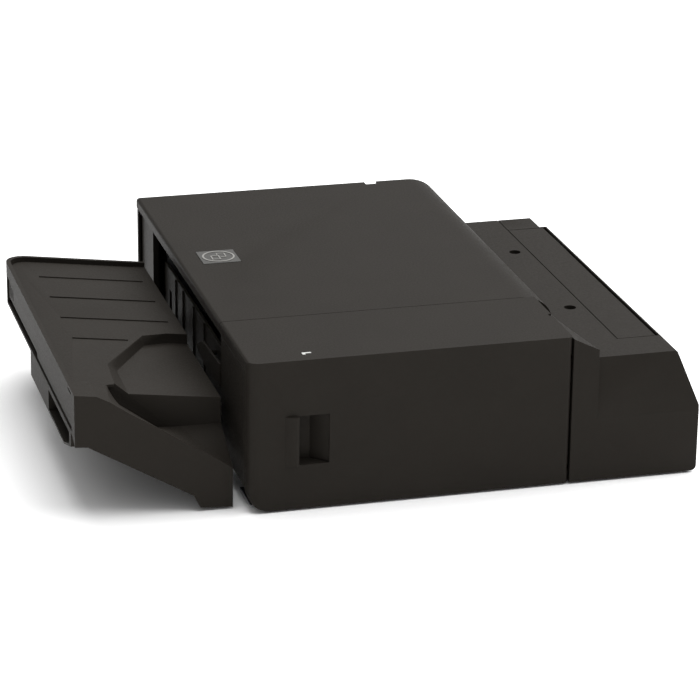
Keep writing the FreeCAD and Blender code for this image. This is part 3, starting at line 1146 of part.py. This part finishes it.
def tray_base():
    """Under-tray shell with a finger grip in its left end; it clamps the lift arms."""
    x0, x1 = X_TRAY, TRAY_X1 - 5
    v0, v1, v_block = V_SCOOP - 29, TRAY_V1 - SKIN, 264.0
    bottom, top = 56.0, BAND_Z0 - 0.1

    def nose(lift):
        """Space under the raised front end of the grip block."""
        return front_prism([(v0 - 11, 71.5 + lift), (v0 + 38, bottom + lift), (v0 + 38, 30), (v0 - 11, 30)],
                           x0 - 1, x0 + 70)
    grip_shell = side_prism([(x0, bottom), (x0, top), (x0 + 60, 76), (x0 + 60, 42), (x0 + 33, bottom)],
                            v0, v_block)
    inside = side_prism([(x0 + SKIN, bottom + SKIN), (x0 + SKIN, 90), (x0 + 66, 90), (x0 + 66, 42.5),
                         (x0 + 60, 44.5), (x0 + 34, bottom + SKIN)], v0 + SKIN, v_block - SKIN)
    shell = side_prism([(x0 + 50, 48), (x0 + 50, 76), (x1, 60), (x1, 40), (x0 + 60, 40)], V_SCOOP + SKIN, v1)
    space = side_prism([(x0 + 46, 52.5), (x0 + 46, 90), (x1 + 5, 90), (x1 + 5, 42.5), (x0 + 62, 42.5)],
                       V_SCOOP + 2 * SKIN, v_block - SKIN)
    rear_space = side_prism([(x0 + 52.5, 50), (x0 + 52.5, 90), (x1 + 5, 90), (x1 + 5, 42.5), (x0 + 62, 42.5)],
                            v_block, v1 - SKIN)
    base = fuse(grip_shell.cut(nose(0)), shell.cut(rear_space)).cut(space).cut(inside.cut(nose(SKIN + 0.2)))
    socket = block(x0, x0 + GRIP_DEPTH + SKIN, GRIP_V0 - SKIN, GRIP_V1 + SKIN, bottom + 1, top - 0.4)
    grip = block(x0 - 1, x0 + GRIP_DEPTH, GRIP_V0, GRIP_V1, bottom + 2.5, top - SKIN).cut(nose(2.5))
    return fuse(base, socket.cut(nose(0.5))).cut(grip)


GRIP_DEPTH = 24.5
GRIP_V0, GRIP_V1 = 50.0, 161.5


def lift_arms():
    """Two steel arms under the tray, each ending in a vertical rack inside the housing."""
    sx, sz = LIFT_SHAFT
    pitch_x = sx - LIFT_MODULE * LIFT_TEETH / 2
    teeth = rack_teeth(20, 74, sz + math.pi * LIFT_MODULE / 2, LIFT_MODULE)
    left = pitch_x - 12
    outline = [(left, 18), (pitch_x - 1.1, 18)] + [(pitch_x + t, z) for z, t in teeth]
    outline += [(pitch_x - 1.1, 76), (left, 76), (left, 54), (TRAY_X1 - 5, 54), (TRAY_X1 - 11, 64),
                (TRAY_X1 - 84, 64), (TRAY_X1 - 84, 42.5), (TRAY_X1 - 1, 42.5), (X_LEFT + 3, 36), (left, 36)]
    return group(*[side_prism(outline, v - ARM_T / 2, v + ARM_T / 2) for v in ARM_V])


def lift_shaft():
    """Shaft with the two pinions that raise the tray, machined in one piece."""
    pinions = []
    for v in ARM_V:
        gear = involute_gear(LIFT_TEETH, LIFT_MODULE, ARM_T + 2, 0, math.pi)
        pinions.append(gear_on_y(gear, *LIFT_SHAFT, v - ARM_T / 2 - 1))
    return fuse(shaft(LIFT_SHAFT, 106, V_REAR_FRAME + 16), *pinions)


def lift_motor():
    x, z = LIFT_SHAFT
    v0 = V_REAR_FRAME + SHEET
    body = fuse(rod(x, z, 16, v0 + 2, v0 + 34), block(x - 18, x + 18, v0, v0 + 2, z - 18, z + 18))
    return body.cut(rod(x, z, SHAFT_R + BORE_GAP, v0 - 1, v0 + 20))


PARTS = [
    base_plate, rubber_feet, front_frame, rear_frame, cross_stays, tamper_stay, frame_screws,
    shaft_bushings, top_cover, badge_plate, rear_cover, left_front_cover, exit_fence, exit_guard,
    right_cover, bridge_lid, hinge_pins, lid_idler, front_door, status_lamp, door_hinge_brackets,
    door_magnet, paper_guides, compile_plate, entrance_shaft, entrance_rolls, entrance_pulley,
    feed_shaft, feed_rolls, feed_pulleys, feed_idler, jam_knob, exit_shaft, exit_rolls, exit_pulley,
    exit_arm, exit_idler, jam_guide, paddle_shaft, paddle_wheels, paddle_motor, drive_motor,
    motor_rotor, timing_belts, control_board, docking_connector, wiring_harness, front_tamper,
    rear_tamper, tamper_pinion, tamper_motor, stapler_rail, stapler_body, staple_cartridge,
    tray_deck, tray_extension, tray_base, lift_arms, lift_shaft, lift_motor,
]


def main():
    os.makedirs("parts", exist_ok=True)
    for make in PARTS:
        make().exportStep(f"parts/{make.__name__}.step")


main()
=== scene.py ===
"""In-body sheet finisher: moulded plastic covers, steel inside, on a pale studio floor."""
import json
import math

import bmesh
import bpy
from mathutils import Matrix, Vector


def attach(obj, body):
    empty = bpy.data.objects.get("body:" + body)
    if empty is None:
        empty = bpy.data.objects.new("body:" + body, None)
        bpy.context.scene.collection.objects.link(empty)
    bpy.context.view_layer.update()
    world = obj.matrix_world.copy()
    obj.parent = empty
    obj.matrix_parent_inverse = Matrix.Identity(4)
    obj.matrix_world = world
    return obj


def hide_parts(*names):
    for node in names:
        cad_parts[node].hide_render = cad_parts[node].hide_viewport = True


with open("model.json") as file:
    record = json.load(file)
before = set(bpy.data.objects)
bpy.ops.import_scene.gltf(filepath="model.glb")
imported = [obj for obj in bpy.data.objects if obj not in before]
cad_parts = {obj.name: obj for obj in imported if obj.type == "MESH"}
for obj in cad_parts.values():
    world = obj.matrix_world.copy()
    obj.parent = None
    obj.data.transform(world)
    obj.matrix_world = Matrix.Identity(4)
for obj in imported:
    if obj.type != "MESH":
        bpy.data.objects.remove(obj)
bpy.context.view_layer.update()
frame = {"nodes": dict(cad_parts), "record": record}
NODES = frame["nodes"]


# ---------------------------------------------------------------- materials
def new_material(name):
    mat = bpy.data.materials.new(name)
    mat.use_nodes = True
    tree = mat.node_tree
    return mat, tree, tree.nodes["Principled BSDF"]


def noise(tree, scale, detail=4.0, rough=0.55, coords=None):
    node = tree.nodes.new("ShaderNodeTexNoise")
    node.inputs["Scale"].default_value = scale
    node.inputs["Detail"].default_value = detail
    node.inputs["Roughness"].default_value = rough
    tree.links.new(coords, node.inputs["Vector"])
    return node.outputs["Fac"]


def mapped(tree, value, low, high, from_low=0.3, from_high=0.7):
    node = tree.nodes.new("ShaderNodeMapRange")
    node.inputs["From Min"].default_value = from_low
    node.inputs["From Max"].default_value = from_high
    node.inputs["To Min"].default_value = low
    node.inputs["To Max"].default_value = high
    tree.links.new(value, node.inputs["Value"])
    return node.outputs["Result"]


def ramp(tree, value, dark, light, low=0.3, high=0.7):
    node = tree.nodes.new("ShaderNodeValToRGB")
    first, last = node.color_ramp.elements
    first.position, last.position = low, high
    first.color, last.color = (*dark, 1), (*light, 1)
    tree.links.new(value, node.inputs["Fac"])
    return node.outputs["Color"]


def scaled(color, factor):
    return tuple(c * factor for c in color)


def object_coords(tree, stretch=(1, 1, 1)):
    coords = tree.nodes.new("ShaderNodeTexCoord").outputs["Object"]
    mapping = tree.nodes.new("ShaderNodeMapping")
    mapping.inputs["Scale"].default_value = stretch
    tree.links.new(coords, mapping.inputs["Vector"])
    return mapping.outputs["Vector"]


def bump(tree, height, strength, distance, under=None):
    node = tree.nodes.new("ShaderNodeBump")
    node.inputs["Strength"].default_value = strength
    node.inputs["Distance"].default_value = distance
    tree.links.new(height, node.inputs["Height"])
    if under:
        tree.links.new(under, node.inputs["Normal"])
    return node.outputs["Normal"]


def mix_colors(tree, fac, a, b):
    node = tree.nodes.new("ShaderNodeMix")
    node.data_type = "RGBA"
    tree.links.new(fac, node.inputs["Factor"])
    tree.links.new(a, node.inputs["A"])
    if isinstance(b, tuple):
        node.inputs["B"].default_value = (*b, 1)
    else:
        tree.links.new(b, node.inputs["B"])
    return node.outputs["Result"]


WARM_SHEEN = (1.0, 0.95, 0.89, 1.0)


def moulded(name, color, rough=0.55, grain=2600.0, relief=0.35, cloud=0.06, worn=1.25, specular=0.095):
    """Textured injection-moulded plastic: fine spark grain, faint clouding and rubbed patches."""
    mat, tree, bsdf = new_material(name)
    coords = object_coords(tree)
    cloudy = noise(tree, 14.0, 5.0, 0.6, coords)
    fine = noise(tree, grain, 2.0, 0.5, coords)
    speck = noise(tree, 520.0, 3.0, 0.6, coords)
    base = ramp(tree, cloudy, scaled(color, 1 - cloud), scaled(color, 1 + cloud))
    rub = mapped(tree, noise(tree, 38.0, 6.0, 0.7, coords), 0.0, 0.25, 0.55, 0.8)
    tree.links.new(mix_colors(tree, rub, base, scaled(color, worn)), bsdf.inputs["Base Color"])
    tree.links.new(mapped(tree, speck, rough - 0.06, rough + 0.07), bsdf.inputs["Roughness"])
    coarse = bump(tree, speck, relief * 0.4, 0.00012)
    tree.links.new(bump(tree, fine, relief, 0.00008, coarse), bsdf.inputs["Normal"])
    bsdf.inputs["Specular IOR Level"].default_value = specular
    bsdf.inputs["Specular Tint"].default_value = WARM_SHEEN
    return mat


def metal(name, color, rough=0.35, stretch=(1, 40, 1), scale=90.0, metallic=1.0, spangle=0.0):
    """Rolled or ground metal: streaks along one axis, smudges, optional zinc spangle."""
    mat, tree, bsdf = new_material(name)
    streaks = noise(tree, scale, 3.0, 0.6, object_coords(tree, stretch))
    smudge = noise(tree, 22.0, 5.0, 0.6, object_coords(tree))
    base = ramp(tree, smudge, scaled(color, 0.86), scaled(color, 1.06))
    if spangle:
        cells = tree.nodes.new("ShaderNodeTexVoronoi")
        cells.inputs["Scale"].default_value = 170.0
        tree.links.new(object_coords(tree), cells.inputs["Vector"])
        base = mix_colors(tree, mapped(tree, cells.outputs["Distance"], 0, spangle, 0.1, 0.6), base,
                          scaled(color, 0.7))
    tree.links.new(base, bsdf.inputs["Base Color"])
    tree.links.new(mapped(tree, streaks, rough - 0.08, rough + 0.12), bsdf.inputs["Roughness"])
    tree.links.new(bump(tree, streaks, 0.12, 0.00008), bsdf.inputs["Normal"])
    bsdf.inputs["Metallic"].default_value = metallic
    return mat


def badge(name, field, line):
    """Brushed dark field with a lighter raised emblem."""
    mat, tree, bsdf = new_material(name)
    brushed = noise(tree, 700.0, 3.0, 0.6, object_coords(tree, (1, 12, 1)))
    split = tree.nodes.new("ShaderNodeSeparateXYZ")
    tree.links.new(tree.nodes.new("ShaderNodeTexCoord").outputs["Object"], split.inputs["Vector"])
    raised = mapped(tree, split.outputs["Z"], 0.0, 1.0, 0.1504, 0.1506)
    ground = ramp(tree, brushed, scaled(field, 0.88), scaled(field, 1.12))
    tree.links.new(mix_colors(tree, raised, ground, line), bsdf.inputs["Base Color"])
    tree.links.new(mapped(tree, brushed, 0.42, 0.56), bsdf.inputs["Roughness"])
    tree.links.new(bump(tree, brushed, 0.15, 0.00006), bsdf.inputs["Normal"])
    bsdf.inputs["Specular IOR Level"].default_value = 0.3
    return mat


def rubber(name, color, rough=0.75):
    """Ground rubber: dull, with fine pits and paper dust."""
    mat, tree, bsdf = new_material(name)
    coords = object_coords(tree)
    pits = noise(tree, 1500.0, 3.0, 0.6, coords)
    dust = mapped(tree, noise(tree, 90.0, 6.0, 0.7, coords), 0.0, 0.35, 0.5, 0.8)
    base = ramp(tree, pits, scaled(color, 0.8), scaled(color, 1.2))
    tree.links.new(mix_colors(tree, dust, base, scaled(color, 2.2)), bsdf.inputs["Base Color"])
    tree.links.new(mapped(tree, pits, rough - 0.08, rough + 0.1), bsdf.inputs["Roughness"])
    tree.links.new(bump(tree, pits, 0.4, 0.0001), bsdf.inputs["Normal"])
    return mat


BLACK = (0.0142, 0.0123, 0.0102)
MATERIALS = {
    "housing_plastic": moulded("housing_plastic", BLACK),
    "tray_plastic": moulded("tray_plastic", scaled(BLACK, 1.08), rough=0.58),
    "badge_metal": badge("badge_metal", (0.05, 0.049, 0.046), (0.2, 0.195, 0.185)),
    "lamp_lens": moulded("lamp_lens", (0.5, 0.505, 0.49), rough=0.3, relief=0.05, worn=1.05),
    "zinc_sheet": metal("zinc_sheet", (0.36, 0.366, 0.372), rough=0.42, spangle=0.35),
    "steel_shaft": metal("steel_shaft", (0.42, 0.42, 0.43), rough=0.22, stretch=(1, 1, 30)),
    "roll_rubber": rubber("roll_rubber", (0.034, 0.034, 0.035)),
    "belt_rubber": rubber("belt_rubber", (0.014, 0.014, 0.0145)),
    "light_plastic": moulded("light_plastic", (0.40, 0.40, 0.38), rough=0.42, relief=0.12, worn=1.1),
    "green_plastic": moulded("green_plastic", (0.034, 0.2, 0.085), rough=0.38, relief=0.15, worn=1.2),
    "dark_plastic": moulded("dark_plastic", (0.019, 0.019, 0.020), rough=0.45),
    "motor_steel": metal("motor_steel", (0.045, 0.045, 0.048), rough=0.4, metallic=0.5),
    "board_green": moulded("board_green", (0.010, 0.08, 0.037), rough=0.35, relief=0.2, worn=1.6),
    "cable_black": rubber("cable_black", (0.012, 0.012, 0.012), rough=0.5),
}
SLOTS = {row["node"]: row["material_slot"] for row in frame["record"]["subparts"]}


def dress(obj, slot):
    obj.data.materials.clear()
    obj.data.materials.append(MATERIALS[slot])


for node_name, node in NODES.items():
    dress(node, SLOTS[node_name])


# ---------------------------------------------------------------- soft edges
FLAT_ANGLE = math.radians(0.4)
EDGE_ANGLE = math.radians(32)
BODY_OF = {name: body for body, names in frame["record"]["behaviour"]["bodies"].items() for name in names}


def clean_faces(mesh):
    """Joins a tessellated solid's triangles into its real flat faces."""
    bm = bmesh.new()
    bm.from_mesh(mesh)
    bmesh.ops.remove_doubles(bm, verts=bm.verts, dist=1e-6)
    bmesh.ops.dissolve_limit(bm, angle_limit=FLAT_ANGLE, verts=bm.verts, edges=bm.edges)
    bm.to_mesh(mesh)
    bm.free()


def moulding(node_name, width, segments=2):
    """Copy of a CAD solid with its sharp edges rounded off, standing for that node."""
    source = NODES[node_name]
    mesh = source.data.copy()
    clean_faces(mesh)
    piece = bpy.data.objects.new(f"{node_name}_moulding", mesh)
    bpy.context.collection.objects.link(piece)
    piece.matrix_world = source.matrix_world.copy()
    bevel = piece.modifiers.new("edge_round", "BEVEL")
    bevel.width = width
    bevel.segments = segments
    bevel.limit_method = "ANGLE"
    bevel.angle_limit = EDGE_ANGLE
    bevel.use_clamp_overlap = True
    mesh.shade_smooth()
    mesh.set_sharp_from_angle(angle=EDGE_ANGLE)
    bevel.harden_normals = True
    dress(piece, SLOTS[node_name])
    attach(piece, BODY_OF[node_name])
    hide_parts(node_name)
    return piece


MOULDINGS = {"top_cover": 0.0006, "right_cover": 0.0006, "front_door": 0.0006, "bridge_lid": 0.0005,
             "rear_cover": 0.0006, "tray_deck": 0.0007, "tray_base": 0.0007, "tray_extension": 0.0005,
             "left_front_cover": 0.0005, "exit_fence": 0.0004, "exit_guard": 0.0005}
for mould_name, edge_width in MOULDINGS.items():
    moulding(mould_name, edge_width)


# ---------------------------------------------------------------- camera
def camera():
    yaw, pitch, roll = math.radians(15.347), math.radians(20.460), math.radians(-0.655)
    forward = Vector((math.sin(yaw) * math.cos(pitch), math.cos(yaw) * math.cos(pitch), -math.sin(pitch)))
    right = Vector((math.cos(yaw), -math.sin(yaw), 0))
    down = forward.cross(right)
    rolled_right = math.cos(roll) * right + math.sin(roll) * down
    rolled_down = -math.sin(roll) * right + math.cos(roll) * down
    data = bpy.data.cameras.new("camera")
    data.lens = 156.5
    data.sensor_width = 36.0
    data.clip_end = 50
    cam = bpy.data.objects.new("camera", data)
    turn = Matrix((rolled_right, -rolled_down, -forward)).transposed().to_4x4()
    cam.matrix_world = Matrix.Translation((-0.741, -2.7865, 1.135)) @ turn
    bpy.context.collection.objects.link(cam)
    bpy.context.scene.camera = cam


camera()


# ---------------------------------------------------------------- floor and light
FLOOR_REACH = 9.0


def floor():
    mesh = bpy.data.meshes.new("floor")
    r = FLOOR_REACH
    mesh.from_pydata([(-r, -r, 0), (r, -r, 0), (r, r, 0), (-r, r, 0)], [], [(0, 1, 2, 3)])
    obj = bpy.data.objects.new("floor", mesh)
    bpy.context.collection.objects.link(obj)
    mat, tree, bsdf = new_material("floor")
    cloud = noise(tree, 1.2, 3.0, 0.5, object_coords(tree))
    tree.links.new(ramp(tree, cloud, (0.95, 0.95, 0.95), (0.98, 0.98, 0.98)), bsdf.inputs["Base Color"])
    bsdf.inputs["Roughness"].default_value = 0.9
    obj.data.materials.append(mat)


def aim(name, data, place, target):
    obj = bpy.data.objects.new(name, data)
    obj.location = place
    obj.rotation_euler = (Vector(target) - Vector(place)).to_track_quat("-Z", "Y").to_euler()
    bpy.context.collection.objects.link(obj)


def sky(strength, low, high):
    """Studio tent: dimmer near the floor, brighter overhead."""
    world = bpy.data.worlds.new("studio")
    world.use_nodes = True
    tree = world.node_tree
    split = tree.nodes.new("ShaderNodeSeparateXYZ")
    tree.links.new(tree.nodes.new("ShaderNodeTexCoord").outputs["Generated"], split.inputs["Vector"])
    shade = tree.nodes.new("ShaderNodeValToRGB")
    first, last = shade.color_ramp.elements
    first.color, last.color = (low, low, low, 1), (high, high, high, 1)
    first.position, last.position = 0.0, 0.9
    tree.links.new(split.outputs["Z"], shade.inputs["Fac"])
    tree.links.new(shade.outputs["Color"], tree.nodes["Background"].inputs["Color"])
    tree.nodes["Background"].inputs["Strength"].default_value = strength
    bpy.context.scene.world = world


def light():
    sky(0.84, 0.24, 1.0)
    dome = bpy.data.lights.new("dome", "SUN")
    dome.energy = 4.2
    dome.angle = math.radians(85)
    aim("dome", dome, (1.0, 0.35, 2.1), (0, 0, 0))


floor()
light()
view = bpy.context.scene.view_settings
view.view_transform = "Standard"
